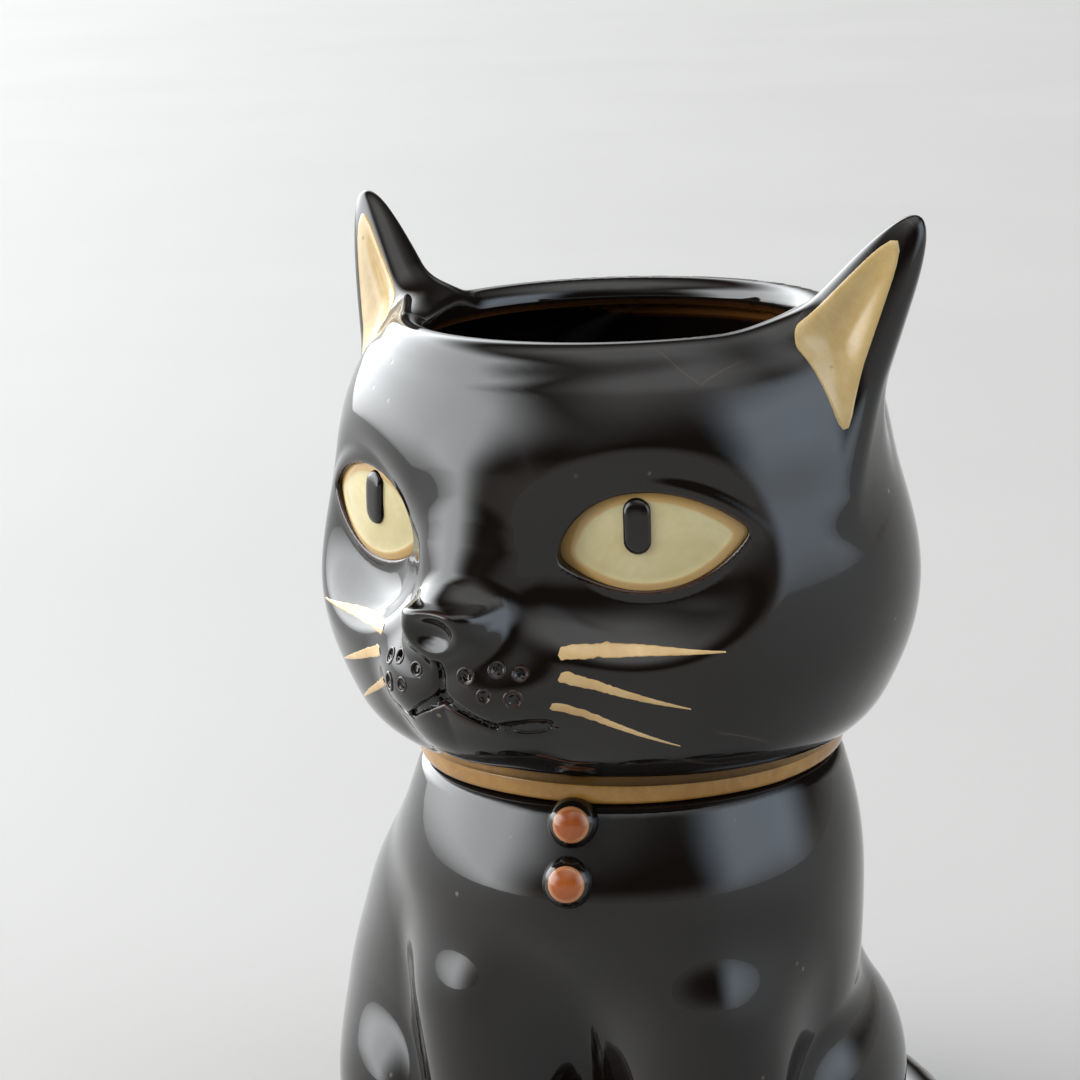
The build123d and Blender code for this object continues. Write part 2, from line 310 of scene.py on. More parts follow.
HEAD = Column(HEAD_ROWS)
CHEST = Column(scaled(CHEST_ROWS, SEAM_HEIGHT, CHEST_HALF))
BACK = Column(scaled(BACK_ROWS, SEAM_HEIGHT, BACK_HALF))
LEG = Column(scaled(LEG_ROWS, LEG_TOP, LEG_HALF))
BACK_FRAME = turned(BACK_LEAN, "Z")
EYE_FRAME = (
    turned(EYE_TURN, "Z") @ turned(90 + EYE_DROP, "X") @ turned(EYE_SLANT, "Z")
)
EAR_UP = np.subtract(EAR_TIP, np.add(EAR_INNER, EAR_LOWER) / 2)
EAR_LENGTH = float(np.linalg.norm(EAR_UP))
EAR_UP = EAR_UP / EAR_LENGTH
EAR_OUT = np.cross(np.subtract(EAR_LOWER, EAR_INNER), EAR_UP)
EAR_OUT = EAR_OUT / np.linalg.norm(EAR_OUT) * -np.sign(EAR_OUT[1])
EAR_FRAME = np.stack([np.cross(EAR_OUT, EAR_UP), EAR_OUT, EAR_UP], axis=1)
EAR_CORNERS = [np.subtract(corner, EAR_TIP) @ EAR_FRAME for corner in (EAR_TIP, EAR_INNER, EAR_LOWER)]


def almond(u, v, grow=0.0):
    """The eye's outline on its plane: two arcs that meet in two corners."""
    length, rise, fall = EYE_HALF_LENGTH, EYE_RISE, EYE_FALL
    upper = (length ** 2 + rise ** 2) / (2 * rise)
    lower = (length ** 2 + fall ** 2) / (2 * fall)
    top = np.sqrt((u + EYE_SKEW * np.maximum(v, 0)) ** 2 + (v - rise + upper) ** 2) - upper
    low = np.sqrt(u ** 2 + (v + fall - lower) ** 2) - lower
    return within(top, low, 1.6) - grow, top, low


def eye_parts(p):
    """The place in the eye's frame, and the height over its ball."""
    u, v, w = local(p, EYE_PLACE, EYE_FRAME)
    ahead = np.maximum(w - EYE_BULGE + EYE_BALL, 0)
    over = np.sqrt(u ** 2 + v ** 2 + ahead ** 2) - EYE_BALL
    return u, v, w, over


def face(p, marks=True):
    """The round of the head with its features, before the mouth of the pot is cut."""
    x, y, z = p
    side = (np.abs(x), y, z)
    f = within(HEAD(p), z - LIP_TOP, 5)
    ring = np.hypot(x, y + MOUTH_AHEAD) - MOUTH_RADIUS - LIP_ROUND
    f = blend(f, np.hypot(ring, z - HEAD_HEIGHT + LIP_ROUND) - LIP_ROUND, 3)
    # Sockets of the eyes, and the bridge and tip of the nose
    u, v, w, over = eye_parts(side)
    f = carve(f, pebble((u, v, w), *SOCKET), 6)
    f = blend(f, rod(p, *BRIDGE[:2], *BRIDGE_RADII[:2]), 7)
    f = blend(f, rod(p, *BRIDGE[1:], *BRIDGE_RADII[1:]), 6)
    f = blend(f, pebble(p, *SNOUT), 4)
    # Muzzle pads and chin, then the nose: a rounded triangle that faces ahead
    f = blend(f, pebble(side, *MUZZLE), 7)
    f = blend(f, pebble(p, *CHIN), 8)
    nose_side = (side[0] - NOSE_HALF_WIDTH) * 0.77 - (z - NOSE_TOP + 0.8) * 0.638
    nose_front = 0.045 * x ** 2 - y - NOSE_FRONT - 0.4 * (z - NOSE_TOP + 5)
    nose = within(within(nose_side, z - NOSE_TOP, 4), nose_front, 2.4)
    f = blend(f, np.maximum(nose, y + NOSE_BACK), 1.8)
    # Eyelids round an open socket
    edge, top, low = almond(u, v)
    lid_share = np.clip(1 - ((u - 2) / 22) ** 2, 0.02, 1)
    lid = np.sqrt((top - LID_OFFSET) ** 2 + (over + 0.1) ** 2) - LID_RADIUS * lid_share
    f = blend(f, lid + 3 * np.clip(-4 - v, 0, 3), 2)
    f = blend(f, np.sqrt((edge - 0.7) ** 2 + (over + 0.4) ** 2) - 1.0, 1.4)
    f = carve(f, np.maximum(edge, -over - 1.2), 0.7)
    if marks:
        # The dish of the nose, the line under it, the mouth and the dimple beside it
        f = carve(f, pebble(p, *NOSE_DISH), 1.8)
        front = (side[0], 0 * y, z)
        f = sink(f, rod(front, *PHILTRUM, 0.3, 0.5), y, 0.6, 1.3)
        f = sink(f, rod(front, *MOUTH_LINE, 0.9, 0.3), y, 0.9, 1.4)
        f = sink(f, pebble(front, *DIMPLE), y, 0.4, 1.8)
        for across, rise in PORES:
            pit = np.hypot(side[0] - across, z - rise) - 0.5 * PORE_RADIUS
            f = sink(f, pit, y, 0.4, 0.6)
    return f


def sink(f, mark, y, depth, edge):
    """Sinks a mark, drawn in front view, into the front of a form."""
    return carve(f, np.maximum(np.maximum(mark, -f - depth), y), edge)


def ear_outline(p):
    """The place in the ear's frame, and the distances past its two long edges and its base."""
    x, y, z = p
    u, v, w = local((np.abs(x), y, z), EAR_TIP, EAR_FRAME)
    past = []
    for a, b, c in ((0, 1, 2), (0, 2, 1), (1, 2, 0)):
        a, b, c = EAR_CORNERS[a], EAR_CORNERS[b], EAR_CORNERS[c]
        way = np.array([b[0] - a[0], b[2] - a[2]]) / math.hypot(b[0] - a[0], b[2] - a[2])
        sign = np.sign((c[0] - a[0]) * way[1] - (c[2] - a[2]) * way[0])
        past.append(-sign * ((u - a[0]) * way[1] - (w - a[2]) * way[0]))
    return u, v, w, past


def ear(p):
    """A cat's ear: a rounded triangular plate, thin at its tip and dished in front."""
    u, v, w, past = ear_outline(p)
    share = np.clip(-w / EAR_LENGTH, 0, 1.3)
    outline = within(past[0] - EAR_RIMS[0], past[1] - EAR_RIMS[1], EAR_ROUND)
    thick = EAR_THICKNESS[1] + (EAR_THICKNESS[0] - EAR_THICKNESS[1]) * share
    front = v - 0.9 + ear_dish(past)
    plate = within(front, -v - thick + 0.9, 4)
    return within(within(outline, plate, 5), -w - EAR_LENGTH - 12, 3)


def ear_dish(past):
    """How deep the ear's face is dished, with a fold down its middle."""
    inside = np.clip(-within(within(past[0], past[1], 4), past[2] + 2, 4) / 6.5, 0, 1)
    return 2.0 * inside * inside * (3 - 2 * inside)


def head_hollow(p):
    """The inside of the head, with the mouth above it and the throat under it."""
    x, y, z = p
    middle = 39.6
    share = 0.916
    f = HEAD((x / share, y / share, middle + (z - middle) / share)) * share
    f = np.maximum(f, z - HEAD_HEIGHT + 1.4 * LIP_ROUND)
    u, v, w, over = eye_parts((np.abs(x), y, z))
    f = carve(f, pebble((u, v, w), (0, -1, 0), (25, 18, 8)), 5)
    mouth = np.maximum(np.hypot(x, y + MOUTH_AHEAD) - MOUTH_RADIUS, middle - z)
    throat = np.maximum(np.hypot(x, y) - THROAT_RADIUS, z - middle)
    return blend(blend(f, mouth, 2), throat, 2)


def head_field(p):
    return within(carve(head_outside(p), head_hollow(p), 1.2), -p[2], 2.4)


def head_outside(p, marks=True):
    """The head with its ears, still solid."""
    return blend(face(p, marks), ear(p), 8)


def body_parts(p):
    """Each solid form of the body by name."""
    x, y, z = p
    side = (np.abs(x), y, z)
    back = local(p, (0, 0, 0), BACK_FRAME)
    parts = {"body": blend(CHEST(p), BACK(back), 3.5)}
    for name, sign in (("left", 1), ("right", -1)):
        q = (x * sign - LEG_PLACE[0], y - LEG_PLACE[1], z)
        leg = within(LEG(q), z - LEG_TOP, 20)
        paw = blend(leg, pebble((x * sign, y, z), PAW_PLACE, PAW_HALF), 6)
        across, ahead, _ = PAW_PLACE
        for toe in (-1, 0, 1):
            low, high = (across + toe * 7.4, ahead - 22.5, 0), (across + toe * 5.6, ahead - 11, 15.5)
            paw = carve(paw, rod((x * sign, y, z), low, high, 1.1, 0.3), 2.2)
        parts[name + "_foreleg"] = paw
    for name, place in HAUNCHES.items():
        parts[name + "_haunch"] = pebble(p, place, HAUNCH_HALF)
    for name, place in HIND_PAWS.items():
        paw = pebble(p, place, HIND_PAW_HALF)
        across, ahead, _ = place
        for toe in (-1, 0, 1):
            low, high = (across + toe * 6, ahead - 21.5, 0), (across + toe * 4.6, ahead - 11, 14.5)
            paw = carve(paw, rod(p, low, high, 1.0, 0.3), 2)
        parts[name + "_hind_paw"] = paw
    tail = None
    for start, end in zip(TAIL, TAIL[1:]):
        piece = rod(p, start[:3], end[:3], start[3], end[3])
        tail = piece if tail is None else np.minimum(tail, piece)
    parts["tail"] = tail
    return parts


def tail_route(count=22):
    """The tail's centre line and radius, round the rump and along the cat's left side."""
    knots = np.array(TAIL_KNOTS)
    spread = np.linspace(0, 1, len(knots))
    across, ahead, radius = (Curve(spread, knots[:, i]) for i in range(3))
    return [
        (float(across(s)), float(ahead(s)), TAIL_HEIGHT, float(radius(s))) for s in np.linspace(0, 1, count)
    ]


TAIL = tail_route()
BODY_BLENDS = {
    "body": 0, "left_foreleg": 8, "right_foreleg": 8, "left_haunch": 4, "right_haunch": 4,
    "left_hind_paw": 3, "right_hind_paw": 3, "tail": 2.5,
}


def body_hollow(p):
    x, y, z = p
    back = local(p, (0, 0, 0), BACK_FRAME)
    f = np.minimum(CHEST(p, WALL), BACK(back, WALL + 3 * np.clip((z - 62) / 24, 0, 1)))
    f = within(f, FLOOR - z, 6)
    f = np.maximum(f, z - SEAM_HEIGHT + WALL)
    throat = np.maximum(np.hypot(x, y) - THROAT_RADIUS, SEAM_HEIGHT / 2 - z)
    return blend(f, throat, 2)


def body_field(p):
    z = p[2]
    f = None
    for name, part in body_parts(p).items():
        f = part if f is None else blend(f, part, BODY_BLENDS[name])
    f = within(f, -z, 2.2)
    f = within(f, z - SEAM_HEIGHT, 2.4)
    return carve(f, body_hollow(p), 1)


# Meshes
def graded(start, *runs):
    """Places along an axis, in runs of an end and a step."""
    places = [np.array([start])]
    for end, step in runs:
        count = max(1, int(round((end - start) / step)))
        places.append(np.linspace(start, end, count + 1)[1:])
        start = end
    return np.concatenate(places)


CORNERS = [(i, j, k) for i in (0, 1) for j in (0, 1) for k in (0, 1)]


def gradient(field, verts, step=0.04):
    cols = []
    for axis in range(3):
        shift = np.zeros(3)
        shift[axis] = step
        ahead, behind = verts + shift, verts - shift
        cols.append((field(tuple(ahead.T)) - field(tuple(behind.T))) / (2 * step))
    return np.stack(cols, axis=1)


def settle(field, verts, rounds=4, level=0.0):
    """Moves points along the field's slope onto its surface."""
    for _ in range(rounds):
        slope = gradient(field, verts)
        size = np.maximum((slope ** 2).sum(1), 0.05)
        move = (field(tuple(verts.T)) - level) / size
        length = np.abs(move) * np.sqrt(size)
        move *= np.minimum(1, 0.6 / np.maximum(length, 1e-9))
        verts = verts - slope * move[:, None]
    return verts


def net(field, axes):
    """A quad mesh on the zero level of a field over a box grid."""
    grids = np.meshgrid(*[a.astype(np.float32) for a in axes], indexing="ij", sparse=True)
    value = np.asarray(field(tuple(grids)), np.float32)
    value = np.broadcast_to(value, [len(a) for a in axes])
    inside = value < 0
    count = np.array(inside.shape) - 1
    any_in = np.zeros(count, bool)
    all_in = np.ones(count, bool)
    for i, j, k in CORNERS:
        part = inside[i:i + count[0], j:j + count[1], k:k + count[2]]
        any_in |= part
        all_in &= part
    cells = np.argwhere(any_in & ~all_in)
    number = np.full(count, -1, np.int64)
    number[tuple(cells.T)] = np.arange(len(cells))
    total = np.zeros((len(cells), 3))
    hits = np.zeros(len(cells))
    for corner in CORNERS:
        for axis in range(3):
            if corner[axis]:
                continue
            a = cells + corner
            b = a.copy()
            b[:, axis] += 1
            fa, fb = value[tuple(a.T)], value[tuple(b.T)]
            crossed = (fa < 0) != (fb < 0)
            share = np.where(crossed, fa / np.where(fa == fb, 1, fa - fb), 0)
            for i in range(3):
                low, high = axes[i][a[:, i]], axes[i][b[:, i]]
                total[:, i] += np.where(crossed, low + (high - low) * share, 0)
            hits += crossed
    verts = total / hits[:, None]
    faces = []
    for axis in range(3):
        one, two = (axis + 1) % 3, (axis + 2) % 3
        low = np.take(inside, range(count[axis]), axis)
        high = np.take(inside, range(1, count[axis] + 1), axis)
        edges = np.argwhere(low != high)
        keep = (edges[:, one] > 0) & (edges[:, two] > 0)
        keep &= (edges[:, one] < count[one]) & (edges[:, two] < count[two])
        edges = edges[keep]
        rings = []
        for back_one, back_two in ((1, 1), (0, 1), (0, 0), (1, 0)):
            cell = edges.copy()
            cell[:, one] -= back_one
            cell[:, two] -= back_two
            rings.append(number[tuple(cell.T)])
        quads = np.stack(rings, axis=1)
        flip = ~low[tuple(edges.T)]
        quads[flip] = quads[flip][:, ::-1]
        faces.append(quads)
    return verts, np.concatenate(faces)


def bend(field, verts, step=0.5):
    """How sharply the surface turns at each point, above zero on outer edges."""
    middle = field(tuple(verts.T))
    total = np.zeros(len(verts))
    for axis in range(3):
        shift = np.zeros(3)
        shift[axis] = step
        total += field(tuple((verts + shift).T)) + field(tuple((verts - shift).T)) - 2 * middle
    return total / step ** 2


def sculpt(field, axes):
    """A settled mesh of a field, with its normals and how sharply it turns."""
    verts, faces = net(field, axes)
    verts = settle(field, verts)
    slope = gradient(field, verts)
    normals = slope / np.linalg.norm(slope, axis=1)[:, None]
    return verts, faces, normals, np.clip(bend(field, verts), -3, 6)


def used_part(verts, faces, *values):
    """The points that some faces use, with the faces numbered anew."""
    used, index = np.unique(faces, return_inverse=True)
    return (verts[used], index.reshape(faces.shape)) + tuple(value[used] for value in values)


HEAD_SEAT = Matrix.Translation((0, 0, SEAM_HEIGHT * MM)) @ Matrix.Rotation(math.radians(HEAD_TURN), 4, "Z")


def make(name, node, verts, faces, wear_and_sheen, material, seat=None, normals=None):
    """A finished piece that stands for a node of the frame, from points in millimetres."""
    if isinstance(faces, np.ndarray):
        faces = faces.tolist()
    mesh = bpy.data.meshes.new(name)
    mesh.from_pydata((np.asarray(verts) * MM).tolist(), [], [tuple(face) for face in faces])
    mesh.attributes.new("wear_and_sheen", "FLOAT", "POINT").data.foreach_set("value", np.asarray(wear_and_sheen, np.float32))
    if seat is not None:
        mesh.transform(seat)
    mesh.polygons.foreach_set("use_smooth", np.ones(len(mesh.polygons), bool))
    if normals is not None:
        turn = np.array((seat or Matrix()).to_3x3())
        mesh.normals_split_custom_set_from_vertices((normals @ turn.T).tolist())
    mesh.materials.append(material)
    mesh.update()
    return enlist(mesh, node)


def enlist(mesh, node):
    piece = bpy.data.objects.new(mesh.name, mesh)
    bpy.context.scene.collection.objects.link(piece)
    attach(piece, "root")
    if node:
        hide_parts(node)
    return piece


def make_pair(name, node, verts, faces, wear_and_sheen, material, normals=None):
    """A piece of the head and its mirror image on the other side."""
    flip = np.array([-1, 1, 1])
    make("left_" + name, "left_" + node, verts, faces, wear_and_sheen, material, HEAD_SEAT, normals)
    turned_over = [tuple(reversed(tuple(face))) for face in faces]
    facing = None if normals is None else normals * flip
    make("right_" + name, "right_" + node, verts * flip, turned_over, wear_and_sheen, material, HEAD_SEAT, facing)


def split(name_of, verts, faces, normals, wear_and_sheen, seat, material, slot, skip=()):
    """One sculpted surface as several pieces, by a name for each vertex."""
    owner = name_of(verts)[faces[:, 0]]
    for name in sorted(set(owner) - set(skip)):
        points, quads, facing, piece_wear_and_sheen = used_part(verts, faces[owner == name], normals, wear_and_sheen)
        make(name + "_glazed", name, points, quads, piece_wear_and_sheen, material, seat, facing)


# Materials
class Flow:
    """A shader socket that takes arithmetic."""

    def __init__(self, tree, socket):
        self.tree = tree
        self.socket = socket

    def math(self, kind, *others):
        node = self.tree.nodes.new("ShaderNodeMath")
        node.operation = kind
        for slot, value in zip(node.inputs, (self,) + others):
            plug(self.tree, value, slot)
        return Flow(self.tree, node.outputs[0])

    def __add__(self, other):
        return self.math("ADD", other)

    def __sub__(self, other):
        return self.math("SUBTRACT", other)

    def __rsub__(self, other):
        return self.math("MULTIPLY", -1).math("ADD", other)

    def __mul__(self, other):
        return self.math("MULTIPLY", other)

    __radd__ = __add__
    __rmul__ = __mul__

    def step(self, low, high, start=0.0, end=1.0):
        node = self.tree.nodes.new("ShaderNodeMapRange")
        node.interpolation_type = "SMOOTHSTEP"
        limits = {"From Min": low, "From Max": high, "To Min": start, "To Max": end}
        for name, value in {"Value": self, **limits}.items():
            plug(self.tree, value, node.inputs[name])
        return Flow(self.tree, node.outputs[0])


def plug(tree, value, socket):
    if isinstance(value, Flow):
        tree.links.new(value.socket, socket)
    else:
        socket.default_value = value


class Paint:
    """A material whose nodes are made by name."""

    def __init__(self, name):
        self.material = bpy.data.materials.new(name)
        self.material.use_nodes = True
        self.tree = self.material.node_tree
        self.shader = self.tree.nodes["Principled BSDF"]
        self.place = self.node("ShaderNodeTexCoord", out="Object")

    def node(self, kind, out=0, settings=(), **inputs):
        node = self.tree.nodes.new(kind)
        for key, value in dict(settings).items():
            setattr(node, key, value)
        for key, value in inputs.items():
            plug(self.tree, value, node.inputs[key.replace("_", " ")])
        return Flow(self.tree, node.outputs[out])

    def noise(self, scale, detail=2.0, roughness=0.5, distortion=0.0):
        return self.node(
            "ShaderNodeTexNoise", Vector=self.place, Scale=scale, Detail=detail,
            Roughness=roughness, Distortion=distortion,
        )

    def cells(self, scale, feature="F1", randomness=1.0, out="Distance"):
        return self.node(
            "ShaderNodeTexVoronoi", out=out, settings={"feature": feature},
            Vector=self.place, Scale=scale, Randomness=randomness,
        )

    def wear_and_sheen(self):
        return self.node("ShaderNodeAttribute", out="Fac", settings={"attribute_name": "wear_and_sheen"})

    def mix(self, share, first, second):
        node = self.tree.nodes.new("ShaderNodeMix")
        node.data_type = "RGBA"
        plug(self.tree, share, node.inputs["Factor"])
        for value, socket in ((first, node.inputs[6]), (second, node.inputs[7])):
            plug(self.tree, value if isinstance(value, Flow) else (*value, 1.0), socket)
        return Flow(self.tree, node.outputs[2])

    def finish(self, color, roughness, height=None, depth=0.0001, coat=0.0, **constants):
        plug(self.tree, color if isinstance(color, Flow) else (*color, 1.0), self.shader.inputs["Base Color"])
        plug(self.tree, roughness, self.shader.inputs["Roughness"])
        plug(self.tree, coat, self.shader.inputs["Coat Weight"])
        self.shader.inputs["Coat Roughness"].default_value = 0.02
        for key, value in constants.items():
            self.shader.inputs[key.replace("_", " ")].default_value = value
        if height is not None:
            bump = self.node("ShaderNodeBump", Height=height, Distance=depth, Strength=1.0)
            plug(self.tree, bump, self.shader.inputs["Normal"])
        return self.material


def glaze_relief(paint):
    """The slow ripple of a poured glaze, with a few pinholes and hairlines."""
    ripple = paint.noise(42, 1.5, 0.45) * 0.7 + paint.noise(140, 1, 0.5) * 0.08
    pits = paint.cells(230).step(0.05, 0.16)
    sparse = paint.noise(95, 2).step(0.6, 0.66)
    hair = paint.cells(24, "DISTANCE_TO_EDGE").step(0.0, 0.006)
    drawn = paint.noise(30, 1).step(0.58, 0.66)
    return ripple - (1 - pits) * sparse * 0.12 - (1 - hair) * drawn * 0.03, pits, sparse, hair, drawn


def black_glaze():
    paint = Paint("black_glaze")
    height, pits, sparse, hair, drawn = glaze_relief(paint)
    # The wear attribute holds the glaze breaking to brown and amber at convex edges and, inside the head's
    # lip, a painted amber reflection
    wear_and_sheen = paint.wear_and_sheen() + (paint.noise(260, 3) - 0.5) * 0.25
    body = paint.mix(paint.noise(26, 4, 0.6), (0.0028, 0.0022, 0.002), (0.0075, 0.0048, 0.0036))
    brown = paint.mix(wear_and_sheen.step(0.7, 1.3), body, (0.035, 0.012, 0.004))
    amber = paint.mix(wear_and_sheen.step(1.4, 2.6), brown, (0.13, 0.05, 0.012))
    specks = paint.mix((1 - pits) * sparse * 0.5, amber, (0.22, 0.17, 0.12))
    color = paint.mix((1 - hair) * drawn * 0.22, specks, (0.12, 0.09, 0.06))
    rough = paint.noise(18, 2).step(0.3, 0.75, 0.035, 0.075)
    return paint.finish(color, rough, height, 0.00018, IOR=1.5)


def slip_glaze(name, light, deep, edge, relief=0.00012):
    """A pale glaze over clay that pools and breaks at its edges."""
    paint = Paint(name)
    height, pits, sparse, hair, drawn = glaze_relief(paint)
    wear_and_sheen = paint.wear_and_sheen() + (paint.noise(300, 3) - 0.5) * 0.3
    body = paint.mix(paint.noise(70, 5, 0.65, 0.6).step(0.3, 0.72), light, deep)
    crackle = paint.cells(420, "DISTANCE_TO_EDGE").step(0.0, 0.05)
    body = paint.mix((1 - crackle) * 0.25, body, deep)
    ringed = paint.mix(wear_and_sheen.step(0.25, 0.9), body, edge)
    color = paint.mix((1 - pits) * sparse * 0.8, ringed, (0.12, 0.06, 0.02))
    rough = paint.noise(60, 2).step(0.3, 0.7, 0.07, 0.16)
    return paint.finish(color, rough, height, relief, IOR=1.52)


# Sculpt
black = black_glaze()
honey = slip_glaze("honey_glaze", (0.52, 0.38, 0.18), (0.4, 0.27, 0.1), (0.2, 0.09, 0.02))
pale = slip_glaze("pale_yellow_glaze", (0.56, 0.49, 0.28), (0.47, 0.39, 0.19), (0.42, 0.26, 0.09))
amber = slip_glaze("amber_glaze", (0.36, 0.19, 0.04), (0.24, 0.11, 0.02), (0.08, 0.026, 0.006))
rust = slip_glaze("rust_glaze", (0.34, 0.085, 0.018), (0.22, 0.05, 0.012), (0.4, 0.17, 0.07))
cream = slip_glaze("cream_slip", (0.6, 0.42, 0.2), (0.48, 0.3, 0.12), (0.12, 0.05, 0.012))

fine = 0.61
head_axes = (
    graded(-66, (-48, 2.3 * fine), (48, fine), (66, 2.3 * fine)),
    graded(-74, (-27, fine), (14, 3.4 * fine), (58, 3.6 * fine)),
    graded(-2, (10, 2 * fine), (64, fine), (109, 1.85 * fine)),
)
ear_axes = (
    graded(30, (67, 0.7 * fine)),
    graded(-26, (16, 0.7 * fine)),
    graded(44, (108, 0.75 * fine)),
)
hollow_axes = tuple(graded(low, (high, 1.8)) for low, high in ((-66, 66), (-74, 58), (-2, 109)))


def deep(verts, margin):
    """Which points lie nearer to the head's hollow than to its outside, away from mouth and throat."""
    x, y, z = verts.T
    inner = head_hollow((x, y, z)) < -face((x, y, z))
    return inner & (z > 8 - margin) & (z < 74 + margin)


def head_names(verts):
    names = np.full(len(verts), "head", dtype=object)
    p = tuple(verts.T)
    names[ear(p) < face(p) - 0.5] = "ear"
    names[pebble(p, (0, -63.5, 36.6), (10.4, 7.5, 7.6)) < 0] = "nose"
    return names


# The head's inside is a coarser net, which passes under the rim of the fine one
verts, faces, normals, wear_and_sheen = sculpt(head_field, head_axes)
faces = faces[~deep(verts, 0)[faces].all(axis=1)]
inside = sculpt(lambda p: -head_hollow(p), hollow_axes)
inside_faces = inside[1][deep(inside[0], 3)[inside[1]].all(axis=1)]
faces = np.concatenate([faces, inside_faces + len(verts)])
inside = (inside[0], *inside[2:])
verts, normals, wear_and_sheen = (np.concatenate(both) for both in zip((verts, normals, wear_and_sheen), inside))
# Painted amber reflection: a band on the inner wall just under the lip, put into the wear attribute so the
# black glaze turns amber there
lip_sheen = np.exp(-((verts[:, 2] - AMBER_SHEEN_LINE[0]) / AMBER_SHEEN_LINE[1]) ** 2)
lip_sheen *= np.hypot(verts[:, 0], verts[:, 1] + MOUTH_AHEAD) < MOUTH_RADIUS + LIP_ROUND
wear_and_sheen = np.maximum(wear_and_sheen, 4 * lip_sheen)
split(head_names, verts, faces, normals, wear_and_sheen, HEAD_SEAT, black, "black_glaze", skip=("ear",))

verts, faces, normals, wear_and_sheen = sculpt(head_field, ear_axes)
near = tuple(verts.T)
ear_faces = faces[(ear(near) < face(near) + 0.9)[faces].all(axis=1)]
verts, ear_faces, normals, wear_and_sheen = used_part(verts, ear_faces, normals, wear_and_sheen)
make_pair("ear_glazed", "ear", verts, ear_faces, wear_and_sheen, black, normals)

step = 1.25
body_axes = tuple(
    np.linspace(low, high, int((high - low) / step)) for low, high in ((-74, 72), (-66, 90), (-3, 98))
)


def body_names(verts):
    parts = body_parts(tuple(verts.T))
    order = list(parts)
    nearest = np.argmin(np.stack([parts[name] for name in order]), axis=0)
    inner = body_hollow(tuple(verts.T)) < 1
    return np.where(inner, "body", np.array(order, dtype=object)[nearest])


split(body_names, *sculpt(body_field, body_axes), None, black, "black_glaze")


# Inlays and trims
def sheet_faces(rows, cols, closed=False):
    """Quads over a grid of points, row by row."""
    faces = []
    for i in range(rows - 1):
        for j in range(cols if closed else cols - 1):
            k = (j + 1) % cols
            faces.append((i * cols + j, i * cols + k, (i + 1) * cols + k, (i + 1) * cols + j))
    return faces


def hub_faces(hub, cols):
    """Triangles from a middle point to the first ring of points."""
    return [(hub, (j + 1) % cols, j) for j in range(cols)]


def outline_rays(edge, centre, count, reach):
    """Points round an outline, found along rays from a point within it."""
    angles = np.linspace(0, 2 * math.pi, count, endpoint=False)
    rays = np.stack([np.cos(angles), np.sin(angles)], axis=1)
    near, far = np.zeros(count), np.full(count, float(reach))
    for _ in range(30):
        middle = (near + far) / 2
        spots = centre + rays * middle[:, None]
        outside = edge(spots[:, 0], spots[:, 1]) > 0
        near, far = np.where(outside, near, middle), np.where(outside, middle, far)
    return rays * far[:, None]


def eye_point(u, v, over):
    """A point over the eye's ball, in the head's frame."""
    w = EYE_BULGE - EYE_BALL + np.sqrt((EYE_BALL + over) ** 2 - u ** 2 - v ** 2)
    return np.array(EYE_PLACE) + np.stack([u, v, w], axis=1) @ EYE_FRAME.T


COUNT = 96
rings = np.array([*np.linspace(0.06, 0.78, 10), 0.82, 0.86, 0.9, 0.95, 1.0, 1.05])
rim = outline_rays(lambda u, v: almond(u, v)[0], np.zeros(2), COUNT, 24)
flat = np.concatenate([rim * share for share in rings])
# The eye is flat inside a faint raised border
eye_over = np.repeat(np.interp(rings, [0, 0.8, 0.86, 1, 1.05], [0, 0, 0.28, 0.2, 0.1]), COUNT)
eye_verts = np.concatenate([
    eye_point(flat[:, 0], flat[:, 1], eye_over),
    eye_point(rim[:, 0] * 1.05, rim[:, 1] * 1.05, -EYE_THICKNESS),
    eye_point(np.zeros(1), np.zeros(1), 0.0),
])
eye_wear = np.repeat(np.interp(rings, [0, 0.8, 0.85, 1.05], [0, 0.1, 0.75, 1.2]), COUNT)
eye_wear = np.concatenate([eye_wear, np.full(COUNT, 1.2), [0]])
eye_quads = sheet_faces(len(rings) + 1, COUNT, closed=True)
eye_quads = [tuple(reversed(face)) for face in eye_quads + hub_faces(len(eye_verts) - 1, COUNT)]
make_pair("eye_glaze", "eye", eye_verts, eye_quads, eye_wear, pale)

angles = np.linspace(0, 2 * math.pi, 48, endpoint=False)
straight = PUPIL_HALF[1] - PUPIL_HALF[0]
pupil_rim = np.stack([
    PUPIL_HALF[0] * np.cos(angles),
    PUPIL_HALF[0] * np.sin(angles) + straight * np.sign(np.sin(angles)),
], axis=1) @ turned(EYE_SLANT, "Z")[:2, :2]
pupil_steps = ((1.0, -0.6), (1.0, 0.35), (0.93, 0.8), (0.78, 1.02), (0.5, 1.1), (0.2, 1.12))
pupil_flat = np.concatenate([pupil_rim * share + np.array(PUPIL_PLACE) for share, _ in pupil_steps])
pupil_over = np.repeat([lift for _, lift in pupil_steps], 48)
pupil_verts = eye_point(pupil_flat[:, 0], pupil_flat[:, 1], pupil_over)
pupil_quads = sheet_faces(len(pupil_steps), 48, closed=True)
pupil_quads.append(tuple((len(pupil_steps) - 1) * 48 + j for j in range(48)))
make_pair("pupil_glaze", "pupil", pupil_verts, pupil_quads, np.zeros(len(pupil_verts)), black)


def plain_face(p):
    return face(p, marks=False)


def onto_face(across, rise):
    """The face's surface straight ahead of a place across and up."""
    spots = np.stack([across, np.full(len(across), -62.0), rise], axis=1)
    for _ in range(12):
        slope = gradient(plain_face, spots)[:, 1]
        spots[:, 1] -= np.clip(plain_face(tuple(spots.T)) / np.minimum(slope, -0.3), -2, 2)
    return spots


